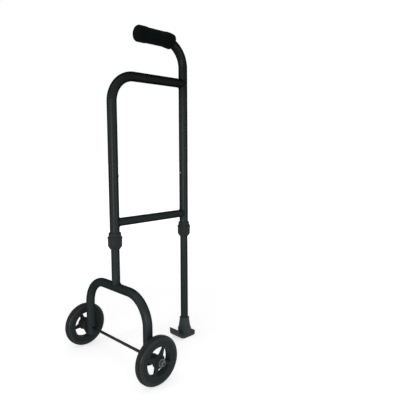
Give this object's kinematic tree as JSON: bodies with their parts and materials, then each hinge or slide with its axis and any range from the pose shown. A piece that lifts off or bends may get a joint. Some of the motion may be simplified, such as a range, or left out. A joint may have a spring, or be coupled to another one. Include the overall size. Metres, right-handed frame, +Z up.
{
  "type": "wheeled one-hand walking aid",
  "caption": "One-hand walking aid with a bent tube frame, hand grip, adjustable legs, a rocker foot and a wheeled arch.",
  "frame": {"origin": "floor level, midway between the tyres' foremost point and the heel of the foot, on the plane of symmetry", "axes": "+Z up, -Y the way the user walks, +X to the side of the wheel that is near in the picture"},
  "size_m": [0.3896, 0.3474, 0.9126],
  "materials": {
    "frame_black": "satin",
    "leg_black": "satin",
    "weld_black": "satin",
    "grip_black": "matt",
    "collar_black": "satin",
    "collet_grey": "matt",
    "foot_rubber": "matt",
    "tyre_rubber": "matt",
    "wheel_black": "satin",
    "bush_black": "satin",
    "plug_black": "matt",
    "bright_steel": "zinc plated",
    "spring_steel": "plain",
    "rod_steel": "dark plated"
  },
  "bodies": {
    "frame": {"rear_upright": "frame_black", "front_upright": "frame_black", "crossbar": "frame_black", "rail_weld": "weld_black", "crossbar_rear_weld": "weld_black", "crossbar_front_weld": "weld_black", "hand_grip": "grip_black", "rear_collar_bush": "collar_black", "rear_collar_ring": "collet_grey", "front_collar_bush": "collar_black", "front_collar_ring": "collet_grey", "rear_button_spring": "spring_steel", "front_button_spring": "spring_steel"},
    "rear_leg_set": {"rear_leg": "leg_black", "foot": "foot_rubber", "foot_washer": "bright_steel"},
    "front_leg_set": {"front_leg": "leg_black", "arch_weld": "weld_black", "wheel_arch": "frame_black", "right_arch_plug": "plug_black", "left_arch_plug": "plug_black", "axle_rod": "rod_steel", "right_inner_washer": "bright_steel", "right_outer_washer": "bright_steel", "right_axle_nut": "bright_steel", "left_inner_washer": "bright_steel", "left_outer_washer": "bright_steel", "left_axle_nut": "bright_steel"},
    "right_wheel": {"right_tyre": "tyre_rubber", "right_wheel_core": "wheel_black", "right_inner_bush": "bush_black", "right_outer_bush": "bush_black"},
    "left_wheel": {"left_tyre": "tyre_rubber", "left_wheel_core": "wheel_black", "left_inner_bush": "bush_black", "left_outer_bush": "bush_black"},
    "rear_nut_set": {"rear_lock_nut": "collar_black"},
    "front_nut_set": {"front_lock_nut": "collar_black"},
    "rear_button_set": {"rear_button": "bright_steel"},
    "front_button_set": {"front_button": "bright_steel"}
  },
  "joints": [
    {"name": "rear_leg_slide", "type": "slide", "parent": "frame", "child": "rear_leg_set", "axis": [0, 0, 1], "range_m": [-0.0762, 0.0762]},
    {"name": "front_leg_slide", "type": "slide", "parent": "frame", "child": "front_leg_set", "axis": [0, 0, 1], "range_m": [-0.0762, 0.0762]},
    {"name": "rear_nut_turn", "type": "hinge", "parent": "frame", "child": "rear_nut_set", "pos_m": [0, 0.14175, 0.3354], "axis": [0, 0, 1], "range_deg": [0, 180]},
    {"name": "front_nut_turn", "type": "hinge", "parent": "frame", "child": "front_nut_set", "pos_m": [0, -0.11025, 0.3354], "axis": [0, 0, 1], "range_deg": [0, 180]},
    {"name": "rear_button_press", "type": "slide", "parent": "frame", "child": "rear_button_set", "axis": [0, 1, 0], "range_m": [0, 0.007], "stiffness_N_per_m": 1500, "springref_m": -0.003, "deforming": ["rear_button_spring"]},
    {"name": "front_button_press", "type": "slide", "parent": "frame", "child": "front_button_set", "axis": [0, -1, 0], "range_m": [0, 0.007], "stiffness_N_per_m": 1500, "springref_m": -0.003, "deforming": ["front_button_spring"]},
    {"name": "right_wheel_spin", "type": "hinge", "parent": "front_leg_set", "child": "right_wheel", "pos_m": [0.1664, -0.11025, 0.0635], "axis": [1, 0, 0], "continuous": true},
    {"name": "left_wheel_spin", "type": "hinge", "parent": "front_leg_set", "child": "left_wheel", "pos_m": [-0.1664, -0.11025, 0.0635], "axis": [1, 0, 0], "continuous": true}
  ]
}
